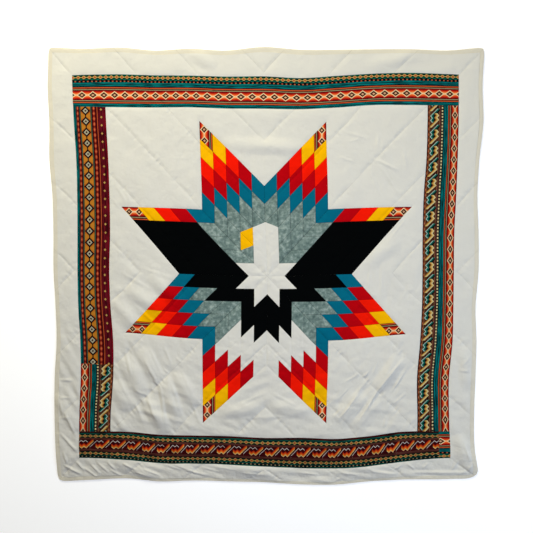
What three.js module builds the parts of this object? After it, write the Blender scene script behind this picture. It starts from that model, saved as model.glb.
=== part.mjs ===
// Star quilt: an eight-pointed star of small diamonds on a white field, inside a printed border and a
// white border, bound all round. It lies on its back, face up.
// Millimetres. X runs to the right of the face, Y towards its top edge, Z out of the face.
import * as THREE from 'three';

// Driving dimensions of the pattern, with the star's centre as its origin
const diamond = 71.8; // finished side of one small diamond of the star
const diamondsAlong = 5; // small diamonds along each side of a star point
const fieldHalf = 664; // from the centre to the edge of the white field
const printWidth = 130; // printed border
const whiteWidth = 84; // white border
const bindingWidth = 18;
const gap = 0.3; // between neighbouring pieces

// Thickness through the layers
const seamThickness = 3.4;
const puffThickness = 8;
const stitchedShare = 0.45; // what is left of the puff's height along a line of quilting
const bindingThickness = 6.6;
const bindingLip = 2.4; // height of the binding's rounded outer edge

// Levels of the pattern's seam lines
const pointSide = diamond * diamondsAlong;
const inner = pointSide / Math.SQRT2; // inner corners of the star
const tip = pointSide + inner; // tips of the star
const printEdge = fieldHalf + printWidth;
const whiteEdge = printEdge + whiteWidth;
const edge = whiteEdge + bindingWidth;

// Cells of the meshes
const pointCells = 8; // along each side of a star point
const sideRows = 5; // from a star notch to the edge of the field
const printCells = 3; // across the printed border
const whiteCells = 2; // across the white border
const bindingCells = 2;
const cell = pointSide / pointCells;
const quiltingPitch = 6 * cell; // between quilting lines, along an edge of the quilt

// Brings the finished outline's middle to the origin
const centring = { x: 2.54, y: 18.03 };

// Where the seams lie in the worn cloth. Each row is one seam line of the pattern, and its numbers say how
// far the cloth on it has moved, at even steps along the whole line, from left to right or bottom to top.
const movedUp = [
  { line: -edge, by: [-24, -17, -11, -24, -20, -24, -28, -37, -38, -24, -16, -15, -11] },
  { line: -printEdge, by: [-21, -23, -31, -46, -48, -51, -60, -68, -69, -58, -40, -25, -21] },
  { line: -fieldHalf, by: [-37, -37, -39, -52, -55, -58, -66, -65, -70, -58, -39, -37, -37] },
  { line: -tip, by: [-28, -36, -50, -58, -52, -35, -20] },
  { line: -inner, by: [-15, -25, -50, -55, -57, -32, -20] },
  { line: 0, by: [-15, -20, -32, -40, -33, -25, -20] },
  { line: inner, by: [0, -5, -14, -28, -13, -5, -8] },
  { line: tip, by: [-4, -4, -12, -14, -15, -2, 2] },
  { line: fieldHalf, by: [-5, -6, -8, -9, -8, -13, -14, -16, -9, 1, 1, -1, -1] },
  { line: printEdge, by: [-13, -7, -5, -9, -10, -14, -13, -20, -11, -2, 1, -4, -9] },
  { line: edge, by: [2, -4, 1, -11, -4, -11, 3, -8, -8, -6, -6, -11, 1] },
];
const movedRight = [
  { line: -edge, by: [5, -1, -2, 2, 13, 12, 7, 10, 9, 0, 3, -1, 6] },
  { line: -printEdge, by: [-3, -2, 1, 10, 11, 5, 5, 8, 10, 9, 2, -1, -1] },
  { line: -fieldHalf, by: [1, 1, 4, 17, 20, 11, 8, 14, 14, 11, 5, 1, 1] },
  { line: -tip, by: [3, 8, 20, 16, 10, 2, 0] },
  { line: -inner, by: [-14, -16, -16, -15, -14, -22, -20] },
  { line: 0, by: [-5, -5, 0, 3, -8, -12, -12] },
  { line: inner, by: [-2, 0, 6, 4, 1, -8, -8] },
  { line: tip, by: [-20, -24, -29, -18, -9, -4, -4] },
  { line: fieldHalf, by: [-24, -24, -25, -29, -19, -13, -13, -15, -13, -4, -2, -3, -3] },
  { line: printEdge, by: [-12, -13, -21, -24, -12, -11, -12, -13, -8, -5, -4, -7, -7] },
  { line: edge, by: [10, -11, -16, -14, -13, -20, -11, -14, -22, -17, -4, -11, -6] },
];

// Corners of the outline, drawn in towards the middle by the binding's turn
const roundedCorners = [
  { x: edge, y: -edge, pull: 14, reach: 52 },
  { x: -edge, y: -edge, pull: 8, reach: 45 },
  { x: edge, y: edge, pull: 5, reach: 30 },
  { x: -edge, y: edge, pull: 5, reach: 30 },
];

// Main folds, in the placed cloth: middle, direction in degrees from +X, length, half width and rise
const folds = [
  { x: -557, y: -466, turn: -67, length: 190, half: 46, rise: 12 },
  { x: -489, y: -421, turn: -61, length: 170, half: 42, rise: 10 },
  { x: -614, y: -549, turn: -68, length: 140, half: 44, rise: 9 },
  { x: -464, y: -632, turn: -61, length: 180, half: 46, rise: 12 },
  { x: -404, y: -570, turn: -73, length: 210, half: 44, rise: 11 },
  { x: -338, y: -523, turn: -59, length: 180, half: 44, rise: 10 },
  { x: 517, y: -453, turn: 60, length: 170, half: 46, rise: 10 },
  { x: 356, y: -597, turn: 44, length: 170, half: 46, rise: 11 },
  { x: 424, y: -626, turn: 55, length: 180, half: 44, rise: 9 },
  { x: -110, y: -606, turn: 8, length: 190, half: 42, rise: 10 },
  { x: 104, y: -604, turn: -9, length: 190, half: 42, rise: 9 },
  { x: 2, y: 500, turn: -2, length: 380, half: 44, rise: 7 },
  { x: -511, y: -140, turn: -38, length: 200, half: 44, rise: 9 },
  { x: -585, y: -205, turn: -50, length: 170, half: 42, rise: 9 },
  { x: -420, y: -100, turn: -42, length: 190, half: 42, rise: 7 },
  { x: 480, y: 60, turn: 40, length: 200, half: 46, rise: 6 },
  { x: -563, y: -862, turn: -16, length: 260, half: 44, rise: 9 },
  { x: -60, y: -872, turn: -9, length: 330, half: 46, rise: 10 },
  { x: 420, y: -872, turn: -7, length: 280, half: 44, rise: 9 },
  { x: -842, y: -625, turn: -64, length: 200, half: 42, rise: 9 },
  { x: 846, y: -800, turn: -72, length: 190, half: 46, rise: 12 },
  { x: 838, y: -430, turn: -80, length: 190, half: 42, rise: 7 },
  { x: -260, y: 850, turn: -30, length: 130, half: 40, rise: 6 },
  { x: 520, y: 846, turn: 12, length: 240, half: 42, rise: 6 },
];

// Height of a smooth curve through even steps, at a place from -edge to edge
function alongLine(steps, place) {
  const last = steps.length - 1;
  const at = THREE.MathUtils.clamp((place / edge + 1) / 2, 0, 1) * last;
  const i = Math.min(Math.floor(at), last - 1);
  const t = at - i;
  const [a, b] = [steps[Math.max(i - 1, 0)], steps[i]];
  const [c, d] = [steps[i + 1], steps[Math.min(i + 2, last)]];
  const bend = (2 * a - 5 * b + 4 * c - d) * t * t + (3 * b - a - 3 * c + d) * t * t * t;
  return b + ((c - a) * t + bend) / 2;
}

// How far a place of the pattern has moved: a blend of the two seam lines on either side of it
function moved(rows, across, along) {
  const above = Math.max(1, rows.findIndex((row) => row.line >= across - 1e-6));
  const [low, high] = [rows[above - 1], rows[above]];
  const share = (across - low.line) / (high.line - low.line);
  return THREE.MathUtils.lerp(alongLine(low.by, along), alongLine(high.by, along), share);
}

// Lays a place of the flat pattern where the worn cloth has it
function place(u, v) {
  const spot = new THREE.Vector2(u + moved(movedRight, u, v), v + moved(movedUp, v, u));
  for (const corner of roundedCorners) {
    const near = 1 - Math.hypot(u - corner.x, v - corner.y) / corner.reach;
    if (near > 0) {
      const towards = new THREE.Vector2(-Math.sign(corner.x), -Math.sign(corner.y));
      spot.addScaledVector(towards, corner.pull * near * near);
    }
  }
  return spot;
}

// Height of the cloth's underside above the surface: nothing but where a main fold lifts it
function lift(spot) {
  let height = 0;
  for (const fold of folds) {
    const turn = THREE.MathUtils.degToRad(fold.turn);
    const from = new THREE.Vector2(spot.x - fold.x, spot.y - fold.y).rotateAround(new THREE.Vector2(), -turn);
    const along = Math.abs(from.x) / (fold.length / 2);
    const across = Math.abs(from.y) / fold.half;
    if (along < 1 && across < 1) {
      const crest = (1 + Math.cos(Math.PI * across)) / 2;
      height = Math.max(height, fold.rise * crest * (1 - along * along));
    }
  }
  return height;
}

// Share of the puff that stands between the lines of quilting, which run towards the star's centre
function puff(u, v) {
  const between = Math.abs(Math.sin((Math.PI * (Math.abs(v) - Math.abs(u))) / quiltingPitch));
  return stitchedShare + (1 - stitchedShare) * Math.sqrt(between);
}

const clothThickness = (u, v, onSeam) => (onSeam ? seamThickness : puffThickness * puff(u, v));

// Runs once round a grid's border, against the clock
function borderOf(columns, rows) {
  const loop = [];
  for (let i = 0; i < columns; i++) loop.push(i);
  for (let j = 1; j < rows; j++) loop.push(j * columns + columns - 1);
  for (let i = columns - 2; i >= 0; i--) loop.push((rows - 1) * columns + i);
  for (let j = rows - 2; j > 0; j--) loop.push(j * columns);
  return loop;
}

// Draws a piece's border in by half the gap, square to its sides
function drawnIn(spots, loop) {
  const result = spots.map((spot) => spot.clone());
  loop.forEach((index, k) => {
    const before = spots[loop.at(k - 1)];
    const after = spots[loop[(k + 1) % loop.length]];
    const into = new THREE.Vector2().subVectors(spots[index], before).normalize();
    const out = new THREE.Vector2().subVectors(after, spots[index]).normalize();
    const inward = new THREE.Vector2(-into.y - out.y, into.x + out.x);
    result[index].addScaledVector(inward, gap / 2 / (1 + into.dot(out)));
  });
  return result;
}

// One closed sheet on a grid. plan gives the place in the pattern for each column and row break.
function sheet(plan, columnBreaks, rowBreaks, thickness = clothThickness) {
  const [columns, rows] = [columnBreaks.length, rowBreaks.length];
  const pattern = rowBreaks.flatMap((t) => columnBreaks.map((s) => plan(s, t)));
  const loop = borderOf(columns, rows);
  const onSeam = new Set(loop);
  const spots = drawnIn(pattern.map((p) => place(p.x, p.y)), loop);
  const lifts = pattern.map((p) => lift(place(p.x, p.y)));
  const under = spots.flatMap((spot, k) => [spot.x, spot.y, lifts[k]]);
  const over = spots.flatMap((spot, k) => {
    const through = thickness(pattern[k].x, pattern[k].y, onSeam.has(k));
    return [spot.x, spot.y, lifts[k] + through];
  });
  const count = columns * rows;
  const faces = [];
  for (let j = 0; j < rows - 1; j++) {
    for (let i = 0; i < columns - 1; i++) {
      const [a, b] = [j * columns + i, j * columns + i + 1];
      const [c, d] = [b + columns, a + columns];
      faces.push(a, c, b, a, d, c);
      faces.push(count + a, count + b, count + c, count + a, count + c, count + d);
    }
  }
  loop.forEach((a, k) => {
    const b = loop[(k + 1) % loop.length];
    faces.push(a, b, count + b, a, count + b, count + a);
  });
  const geometry = new THREE.BufferGeometry();
  geometry.setAttribute('position', new THREE.Float32BufferAttribute([...under, ...over], 3));
  geometry.setIndex(faces);
  geometry.computeVertexNormals();
  return geometry;
}

const fabrics = {
  star_print: new THREE.MeshStandardMaterial({ color: 0xb4121a, roughness: 0.9, metalness: 0 }),
  white_cotton: new THREE.MeshStandardMaterial({ color: 0xe2dfd2, roughness: 0.92, metalness: 0 }),
  border_print: new THREE.MeshStandardMaterial({ color: 0x6a2f1c, roughness: 0.9, metalness: 0 }),
  binding_cotton: new THREE.MeshStandardMaterial({ color: 0xd8cfb2, roughness: 0.92, metalness: 0 }),
};

const quilt = new THREE.Group();
quilt.name = 'star_quilt';
quilt.position.set(centring.x, centring.y, 0);

function sewIn(name, geometry, fabric) {
  const piece = new THREE.Mesh(geometry, fabrics[fabric]);
  piece.name = name;
  quilt.add(piece);
}

// Even breaks from one level to another, both included
function breaks(from, to, cells) {
  return Array.from({ length: cells + 1 }, (_, i) => from + ((to - from) * i) / cells);
}

// Joins runs of breaks that share their end levels
const joined = (...runs) => runs.flatMap((run, k) => (k ? run.slice(1) : run));

const quarterTurn = (plan, quarter) => (s, t) => {
  const spot = plan(s, t);
  for (let k = 0; k < quarter; k++) spot.set(-spot.y, spot.x);
  return spot;
};

// Breaks that all seams along an edge share: corner square, side piece, corner square
const squareRun = joined(breaks(inner, tip, pointCells), [tip, fieldHalf]);
const mirrored = (run) => run.map((level) => -level).reverse();
const fieldRun = joined(mirrored(squareRun), breaks(-inner, inner, 2 * pointCells), squareRun);
const printRun = breaks(fieldHalf, printEdge, printCells);
const whiteRun = breaks(printEdge, whiteEdge, whiteCells);
const bindingRun = breaks(whiteEdge, edge, bindingCells);
const toPrintEdge = joined(mirrored(printRun), fieldRun, printRun);
const toWhiteEdge = joined(mirrored(whiteRun), toPrintEdge, whiteRun);
const toEdge = joined(mirrored(bindingRun), toWhiteEdge, bindingRun);

// Part of a run of breaks, from one of its levels to another
function between(run, from, to) {
  return run.filter((level) => level > from - 1 && level < to + 1);
}

const upright = (u, v) => new THREE.Vector2(u, v);

// The star's eight points, each a rhombus with its sharp corner at the centre
function addStar() {
  const names = ['east_upper', 'north_right', 'north_left', 'west_upper'];
  names.push('west_lower', 'south_left', 'south_right', 'east_lower');
  const sides = breaks(0, pointSide, pointCells);
  names.forEach((name, k) => {
    const along = new THREE.Vector2(1, 0).rotateAround(new THREE.Vector2(), (k * Math.PI) / 4);
    const other = new THREE.Vector2(1, 0).rotateAround(new THREE.Vector2(), ((k + 1) * Math.PI) / 4);
    const plan = (s, t) => along.clone().multiplyScalar(s).addScaledVector(other, t);
    sewIn(`star_point_${name}`, sheet(plan, sides, sides), 'star_print');
  });
}

// White squares between the points at the corners, and five-sided pieces at the middle of each side
function addField() {
  const corners = ['upper_right', 'upper_left', 'lower_left', 'lower_right'];
  const sides = ['top', 'left', 'bottom', 'right'];
  const notched = (u, t) => new THREE.Vector2(u, (pointSide + Math.abs(u)) * (1 - t) + fieldHalf * t);
  for (let k = 0; k < 4; k++) {
    const square = sheet(quarterTurn(upright, k), squareRun, squareRun);
    sewIn(`corner_square_${corners[k]}`, square, 'white_cotton');
    const columns = breaks(-inner, inner, 2 * pointCells);
    const side = sheet(quarterTurn(notched, k), columns, breaks(0, 1, sideRows));
    sewIn(`side_piece_${sides[k]}`, side, 'white_cotton');
  }
}

// Straight strips: the upper and lower ones run across, the left and right ones lie between them
const leftPrintJoin = -inner - 3 * cell;
const lowPrintJoins = [-inner - 6 * cell, fieldHalf + (2 * printWidth) / printCells];
const sideWhiteJoin = -inner - 4 * cell;
const cornerWhiteJoin = -fieldHalf - printWidth / printCells;

function addPrintedBorder() {
  const [across, down] = [toPrintEdge, mirrored(printRun)];
  const add = (name, columns, rows) => sewIn(name, sheet(upright, columns, rows), 'border_print');
  add('print_strip_top', across, printRun);
  add('print_strip_left_upper', down, between(fieldRun, leftPrintJoin, fieldHalf));
  add('print_strip_left_lower', down, between(fieldRun, -fieldHalf, leftPrintJoin));
  add('print_strip_right', printRun, fieldRun);
  add('print_strip_bottom_left', between(across, -printEdge, lowPrintJoins[0]), down);
  add('print_strip_bottom', between(across, ...lowPrintJoins), down);
  add('print_strip_bottom_right', between(across, lowPrintJoins[1], printEdge), down);
}

function addWhiteBorder() {
  const [across, down] = [toWhiteEdge, mirrored(whiteRun)];
  const add = (name, columns, rows) => sewIn(name, sheet(upright, columns, rows), 'white_cotton');
  add('white_strip_top', across, whiteRun);
  add('white_strip_bottom', across, down);
  add('white_strip_left_upper', down, between(toPrintEdge, sideWhiteJoin, printEdge));
  add('white_strip_left_lower', down, between(toPrintEdge, -printEdge, sideWhiteJoin));
  add('white_strip_right_upper', whiteRun, between(toPrintEdge, sideWhiteJoin, printEdge));
  add('white_strip_right_middle', whiteRun, between(toPrintEdge, cornerWhiteJoin, sideWhiteJoin));
  add('white_strip_right_lower', whiteRun, between(toPrintEdge, -printEdge, cornerWhiteJoin));
}

// The binding is folded over the raw edge: thin at its rounded outer edge, full in its middle
function bindingProfile(u, v) {
  const out = (Math.max(Math.abs(u), Math.abs(v)) - whiteEdge) / bindingWidth;
  if (out < 0.1) return seamThickness;
  return out > 0.9 ? bindingLip : bindingThickness;
}

function addBinding() {
  const down = mirrored(bindingRun);
  const add = (name, columns, rows) => {
    sewIn(name, sheet(upright, columns, rows, bindingProfile), 'binding_cotton');
  };
  add('binding_top', toEdge, bindingRun);
  add('binding_bottom', toEdge, down);
  add('binding_left', down, toWhiteEdge);
  add('binding_right', bindingRun, toWhiteEdge);
}

addStar();
addField();
addPrintedBorder();
addWhiteBorder();
addBinding();

export default quilt;
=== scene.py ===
"""Star quilt, lying on its back with its face up. Dresses each sewn piece of the frame in cloth.

Shapes are worked out in millimetres, in the frame's axes, and go into the meshes in metres.
"""
import math

import bpy
import numpy as np
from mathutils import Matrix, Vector


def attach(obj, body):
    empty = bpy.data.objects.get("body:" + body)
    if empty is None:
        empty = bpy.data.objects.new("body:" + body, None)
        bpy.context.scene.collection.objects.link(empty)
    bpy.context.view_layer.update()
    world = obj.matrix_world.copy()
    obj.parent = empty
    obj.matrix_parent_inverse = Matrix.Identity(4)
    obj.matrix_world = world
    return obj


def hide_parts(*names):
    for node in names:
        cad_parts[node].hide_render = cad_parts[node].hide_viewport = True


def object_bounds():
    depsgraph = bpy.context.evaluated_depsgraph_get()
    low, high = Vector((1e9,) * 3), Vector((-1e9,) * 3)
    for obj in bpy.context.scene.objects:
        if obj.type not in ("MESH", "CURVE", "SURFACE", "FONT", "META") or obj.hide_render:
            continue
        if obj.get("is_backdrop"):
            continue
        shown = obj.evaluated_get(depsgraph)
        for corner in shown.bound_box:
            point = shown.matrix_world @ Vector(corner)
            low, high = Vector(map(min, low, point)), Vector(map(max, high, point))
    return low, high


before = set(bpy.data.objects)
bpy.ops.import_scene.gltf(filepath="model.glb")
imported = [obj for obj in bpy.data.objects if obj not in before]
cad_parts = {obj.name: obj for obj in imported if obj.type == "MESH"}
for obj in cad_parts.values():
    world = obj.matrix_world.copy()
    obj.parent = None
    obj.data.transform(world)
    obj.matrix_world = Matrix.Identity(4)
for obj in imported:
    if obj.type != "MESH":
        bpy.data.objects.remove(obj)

CAD_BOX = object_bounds()

# Driving dimensions of the pattern, in mm, with the star's centre as its origin
DIAMOND = 71.8
DIAMONDS_ALONG = 5
FIELD_HALF = 664.0
PRINT_WIDTH = 130.0
WHITE_WIDTH = 84.0
BINDING_WIDTH = 18.0
SEAM_GAP = 0.02

POINT_SIDE = DIAMOND * DIAMONDS_ALONG
INNER = POINT_SIDE / math.sqrt(2)  # inner corners of the star
TIP = POINT_SIDE + INNER
PRINT_EDGE = FIELD_HALF + PRINT_WIDTH
WHITE_EDGE = PRINT_EDGE + WHITE_WIDTH
EDGE = WHITE_EDGE + BINDING_WIDTH
COARSE_CELL = POINT_SIDE / 8
QUILTING_PITCH = 6 * COARSE_CELL
CENTRING = (2.54, 18.03)  # brings the outline's middle to the frame's origin

CELL = DIAMOND / 16  # side of one cell of the meshes
SIDE_PIECE_ROWS = 53  # lines of the grid that fills a side piece, from its notch to the print
SHARP_ANGLE = math.radians(60)  # past this, two faces meet in a crisp edge

# Thickness through the layers
SEAM_THICKNESS = 6.2
PUFF_THICKNESS = 8.2
BINDING_THICKNESS = 7.4
BINDING_RIM = 1.6

# How far each shape of the top cloth reaches from a seam, a line of quilting or the binding
PUFF_REACH = 9.0
HELD_REACH = 13.0
GROOVE_REACH = 4.0
GATHER_REACH = 15.0
PUCKER_REACH = 14.0
RIM_REACH = 8.0
BINDING_REACH = 10.0

# The bottom print's top cloth rises a little, and falls from there to the hem: y, reach and height of each
HEM_RISE = (-800, 75, 1.2)
HEM_FALL = (-805, 100, 3.0)

# Seam lines of the pattern, and how far the cloth on each has moved at even steps along the line,
# from left to right or from bottom to top
MOVED_UP = [
    (-EDGE, [-24, -17, -11, -24, -20, -24, -28, -37, -38, -24, -16, -15, -11]),
    (-PRINT_EDGE, [-21, -23, -31, -46, -48, -51, -60, -68, -69, -58, -40, -25, -21]),
    (-FIELD_HALF, [-37, -37, -39, -52, -55, -58, -66, -65, -70, -58, -39, -37, -37]),
    (-TIP, [-28, -36, -50, -58, -52, -35, -20]),
    (-INNER, [-15, -25, -50, -55, -57, -32, -20]),
    (0, [-15, -20, -32, -40, -33, -25, -20]),
    (INNER, [0, -5, -14, -28, -13, -5, -8]),
    (TIP, [-4, -4, -12, -14, -15, -2, 2]),
    (FIELD_HALF, [-5, -6, -8, -9, -8, -13, -14, -16, -9, 1, 1, -1, -1]),
    (PRINT_EDGE, [-13, -7, -5, -9, -10, -14, -13, -20, -11, -2, 1, -4, -9]),
    (EDGE, [2, -4, 1, -11, -4, -11, 3, -8, -8, -6, -6, -11, 1]),
]
MOVED_RIGHT = [
    (-EDGE, [5, -1, -2, 2, 13, 12, 7, 10, 9, 0, 3, -1, 6]),
    (-PRINT_EDGE, [-3, -2, 1, 10, 11, 5, 5, 8, 10, 9, 2, -1, -1]),
    (-FIELD_HALF, [1, 1, 4, 17, 20, 11, 8, 14, 14, 11, 5, 1, 1]),
    (-TIP, [3, 8, 20, 16, 10, 2, 0]),
    (-INNER, [-14, -16, -16, -15, -14, -22, -20]),
    (0, [-5, -5, 0, 3, -8, -12, -12]),
    (INNER, [-2, 0, 6, 4, 1, -8, -8]),
    (TIP, [-20, -24, -29, -18, -9, -4, -4]),
    (FIELD_HALF, [-24, -24, -25, -29, -19, -13, -13, -15, -13, -4, -2, -3, -3]),
    (PRINT_EDGE, [-12, -13, -21, -24, -12, -11, -12, -13, -8, -5, -4, -7, -7]),
    (EDGE, [10, -11, -16, -14, -13, -20, -11, -14, -22, -17, -4, -11, -6]),
]

# Corners of the outline that the binding rounds: x, y, pull towards the middle, reach
ROUNDED_CORNERS = [
    (EDGE, -EDGE, 14, 52),
    (-EDGE, -EDGE, 8, 45),
    (EDGE, EDGE, 5, 30),
    (-EDGE, EDGE, 5, 30),
]

# Main folds, which lift the whole cloth: middle x and y, direction in degrees, length, half width, rise
FOLDS = [
    (-557, -466, -67, 190, 46, 12),
    (-489, -421, -61, 170, 42, 10),
    (-614, -549, -68, 140, 44, 9),
    (-464, -632, -61, 180, 46, 12),
    (-404, -570, -73, 210, 44, 11),
    (-338, -523, -59, 180, 44, 10),
    (517, -453, 60, 170, 46, 10),
    (356, -597, 44, 170, 46, 11),
    (424, -626, 55, 180, 44, 9),
    (-110, -606, 8, 190, 42, 10),
    (104, -604, -9, 190, 42, 9),
    (2, 500, -2, 380, 44, 7),
    (-511, -140, -38, 200, 44, 9),
    (-585, -205, -50, 170, 42, 9),
    (-420, -100, -42, 190, 42, 7),
    (480, 60, 40, 200, 46, 6),
    (-563, -862, -16, 260, 44, 9),
    (-60, -872, -9, 330, 46, 10),
    (420, -872, -7, 280, 44, 9),
    (-842, -625, -64, 200, 42, 9),
    (846, -800, -72, 190, 46, 12),
    (838, -430, -80, 190, 42, 7),
    (-260, 850, -30, 130, 40, 6),
    (520, 846, 12, 240, 42, 6),
]

# Creases of the top cloth alone, in the same columns
CREASES = [
    (-481, -454, -64, 150, 12, 4.1),
    (-579, -416, -77, 120, 11, 2.7),
    (-465, -402, -67, 130, 10, 2.7),
    (-415, -378, -70, 90, 9.5, 2.2),
    (-533, -533, -30, 60, 8.5, 2.2),
    (-486, -599, -69, 120, 11, 2.7),
    (-439, -583, -82, 160, 12, 4.1),
    (-380, -558, -74, 160, 11.5, 3.1),
    (-539, -618, -68, 90, 9.5, 2.2),
    (-330, -500, -66, 130, 11, 2.1),
    (-300, -620, -70, 110, 11, 1.9),
    (-600, -520, -62, 120, 11, 2.1),
    (-460, -497, -45, 50, 6.5, 1.9),
    (-420, -445, -40, 44, 6.5, 1.7),
    (-507, -545, -50, 46, 6.5, 1.9),
    (-370, -395, -42, 40, 6.5, 1.6),
    (-600, 300, -60, 90, 8.5, 1.8),
    (-570, 280, -70, 80, 8, 1.6),
    (-630, 270, -50, 70, 8, 1.5),
    (498, 421, -25, 120, 10, 3.3),
    (478, 400, -60, 35, 6.5, 1.6),
    (448, 345, -68, 110, 9.5, 2.1),
    (515, 348, -58, 110, 9.5, 2.1),
    (375, 541, -15, 110, 10, 1.6),
    (364, 522, 19, 60, 8, 1.3),
    (330, 443, -19, 80, 8.5, 1.6),
    (571, 448, -80, 80, 9.5, 1.9),
    (458, 516, 85, 80, 11.5, 1.6),
    (355, -582, 55, 160, 9, 3.4),
    (425, -600, 58, 150, 8, 2.8),
    (520, -458, 52, 170, 9, 3.6),
    (392, -520, 48, 90, 6.5, 1.9),
    (476, -520, 57, 100, 6.5, 2.1),
    (446, -560, 62, 80, 6.5, 1.8),
    (330, -532, 50, 80, 6.5, 1.8),
    (548, -500, 60, 80, 6.5, 1.7),
    (388, -612, 52, 90, 6.5, 2),
    (563, -560, 43, 80, 8.5, 2.2),
    (566, -470, 59, 110, 10, 2.4),
    (418, -457, 45, 40, 7, 3),
    (459, -425, 70, 60, 8, 2.1),
    (360, -472, 30, 90, 8.5, 2.1),
    (503, -660, 80, 60, 8, 1.9),
    (-60, -560, 24, 130, 9.5, 2.1),
    (70, -560, -26, 130, 9.5, 2.1),
    (0, -640, 2, 240, 8.5, 1.6),
    (-545, -60, -30, 170, 10, 1.9),
    (-500, -210, -44, 180, 10, 2.2),
    (-450, -30, -20, 150, 9.5, 1.6),
    (430, -40, 86, 150, 10, 1.8),
    (480, -60, 88, 160, 10, 1.9),
    (540, 150, 52, 150, 8.5, 1.3),
    (-845, -480, 0, 70, 7, 3.1),
    (-850, -556, 0, 50, 7, 2.7),
    (-830, -670, -66, 130, 10, 4),
    (-838, -750, -49, 115, 10, 4.8),
    (-825, -868, -28, 90, 9.5, 5.3),
    (-855, -815, -75, 60, 8, 3.8),
    (-792, -852, -51, 60, 8, 4.3),
    (-730, -862, -46, 65, 8, 4.3),
    (-696, -857, -42, 65, 8, 3.8),
    (-640, -882, -30, 70, 8, 3.4),
    (-585, -852, -28, 70, 8, 4.3),
    (-530, -886, -20, 80, 8, 3),
    (-488, -878, -23, 85, 8, 4.3),
    (-400, -856, -18, 90, 8, 3),
    (-300, -880, -14, 110, 8, 3.4),
    (-180, -858, -10, 100, 8, 2.9),
    (-60, -884, -6, 110, 8, 2.9),
    (60, -858, -10, 90, 8, 2.6),
    (180, -884, -8, 110, 8, 2.9),
    (745, -880, 0, 270, 11.5, 5.3),
    (613, -852, -40, 45, 7, 3.4),
    (678, -850, 50, 45, 7, 3.4),
    (832, -440, 0, 50, 7, 2.5),
    (838, -400, 45, 70, 8, 2.7),
    (868, -850, 60, 60, 8, 4.2),
    (850, -790, -70, 80, 8, 3.8),
    (-750, -880, -36, 90, 8, 3.4),
    (-660, -850, -48, 60, 8, 3.2),
    (-345, -862, -20, 110, 8, 2.8),
    (-240, -866, -16, 90, 8, 2.6),
    (300, -866, -24, 110, 9, 3),
    (350, -884, -6, 90, 8, 2.6),
    (430, -858, -30, 80, 9, 3),
    (500, -880, -8, 120, 9, 3.4),
    (560, -856, 30, 60, 8, 2.8),
    (800, -850, 60, 60, 9, 3.6),
    (842, -876, 20, 70, 8, 3),
    (870, -700, -75, 70, 8, 2.2),
    (-868, -600, -80, 80, 8, 2.6),
    (-852, -640, 10, 50, 8, 2.6),
]

# Parts of the quilt that are worn into long soft ripples: middle x and y, reach, direction, spacing, rise
RIPPLES = [
    (-470, -520, 230, -65, 22, 2.2),
    (430, -540, 230, 55, 20, 2.6),
    (-520, -120, 190, -40, 24, 1.9),
    (500, -20, 200, 80, 24, 1.6),
    (0, -590, 220, 20, 24, 2.0),
    (0, 520, 210, -4, 34, 1.0),
    (-440, 430, 260, -45, 44, 0.8),
    (440, 430, 230, -60, 28, 1.3),
    (-400, -880, 400, -18, 20, 3.6),
    (420, -880, 400, -8, 20, 3.6),
    (-850, -560, 330, -62, 22, 3.3),
    (850, -600, 330, -70, 26, 2.0),
]


def along_line(steps, where):
    """Smooth curve through even steps, at places from -EDGE to EDGE.

    Between two steps it is a cubic, whose slope at a step is half the way between that step's neighbours.
    """
    steps = np.asarray(steps, float)
    last = len(steps) - 1
    at = np.clip((where / EDGE + 1) / 2, 0, 1) * last
    i = np.minimum(at.astype(int), last - 1)
    t = at - i
    a, b = steps[np.maximum(i - 1, 0)], steps[i]
    c, d = steps[i + 1], steps[np.minimum(i + 2, last)]
    return b + ((c - a) * t + (2 * a - 5 * b + 4 * c - d) * t**2 + (3 * b - a - 3 * c + d) * t**3) / 2


def moved(rows, across, along):
    """Blend, by distance, of what the two seam lines on either side have moved."""
    lines = np.array([line for line, _ in rows])
    shifts = np.stack([along_line(by, along) for _, by in rows])
    hair = 1e-6  # keeps a place on a line with the line
    above = np.clip(np.searchsorted(lines, across - hair), 1, len(rows) - 1)
    share = (across - lines[above - 1]) / (lines[above] - lines[above - 1])
    low = np.take_along_axis(shifts, above[None] - 1, 0)[0]
    high = np.take_along_axis(shifts, above[None], 0)[0]
    return low * (1 - share) + high * share


def place(u, v):
    """Where the worn cloth has a place of the pattern: the seam lines' shifts and the rounded corners."""
    x, y = u + moved(MOVED_RIGHT, u, v), v + moved(MOVED_UP, v, u)
    for corner_x, corner_y, pull, reach in ROUNDED_CORNERS:
        near = np.clip(1 - np.hypot(u - corner_x, v - corner_y) / reach, 0, 1)
        x = x - math.copysign(pull, corner_x) * near**2
        y = y - math.copysign(pull, corner_y) * near**2
    return x, y


def along_and_across(x, y, middle_x, middle_y, turn):
    """Distances from a fold's middle, along its direction and square to it."""
    c, s = math.cos(math.radians(turn)), math.sin(math.radians(turn))
    x, y = x - middle_x, y - middle_y
    return x * c + y * s, y * c - x * s


def ridge(x, y, row):
    """Rise times half a cosine wave across the fold, times one minus the square of the way along it."""
    middle_x, middle_y, turn, length, half, rise = row
    along, across = along_and_across(x, y, middle_x, middle_y, turn)
    along, across = np.abs(along) / (length / 2), np.abs(across) / half
    return rise * (1 + np.cos(np.pi * np.minimum(across, 1))) / 2 * np.clip(1 - along**2, 0, 1)


def lift(x, y):
    """Height of the cloth's underside: nothing but where a main fold lifts it."""
    return np.max([ridge(x, y, row) for row in FOLDS], axis=0)


def eased(share):
    """A share from 0 to 1 that starts and ends softly: its square, times three less its double."""
    return share * share * (3 - 2 * share)


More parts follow.
